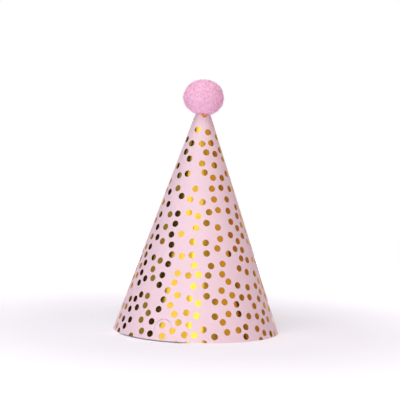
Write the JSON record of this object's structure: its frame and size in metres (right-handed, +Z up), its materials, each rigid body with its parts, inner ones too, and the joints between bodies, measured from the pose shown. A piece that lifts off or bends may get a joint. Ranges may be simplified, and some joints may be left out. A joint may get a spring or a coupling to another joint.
{
  "type": "party hat",
  "caption": "Cone party hat rolled from pale pink card with gold foil dots, a taped seam, die-cut cord tongues and a fluffy pompom glued on its tip.",
  "frame": {"origin": "centre of the rim, in the plane that the hat stands on", "axes": "+Z up along the cone's axis towards the pompom, -Y the front of the hat, +Y the glued seam at the back, +X the right cord tongue"},
  "size_m": [0.11, 0.11, 0.1672],
  "materials": {
    "pink_card": "satin print",
    "gold_foil": "polished",
    "clear_tape": "satin",
    "hot_glue": "gloss",
    "pink_thread": "matte",
    "pink_pile": "matte"
  },
  "bodies": {
    "hat": {"cone_sheet": "pink_card", "seam_tape": "clear_tape", "tip_glue": "hot_glue", "pompom_binding": "pink_thread", "pompom_pile": "pink_pile"},
    "left_tongue": {"cord_tongue_left": "pink_card"},
    "right_tongue": {"cord_tongue_right": "pink_card"}
  },
  "joints": [
    {"name": "left_tongue_crease", "type": "hinge", "parent": "hat", "child": "left_tongue", "pos_m": [-0.05317, 0, 0.00466], "axis": [0, -1, 0], "range_deg": [-60, 75], "stiffness_Nm_per_rad": 0.0003},
    {"name": "right_tongue_crease", "type": "hinge", "parent": "hat", "child": "right_tongue", "pos_m": [0.05317, 0, 0.00466], "axis": [0, 1, 0], "range_deg": [-60, 75], "stiffness_Nm_per_rad": 0.0003}
  ]
}
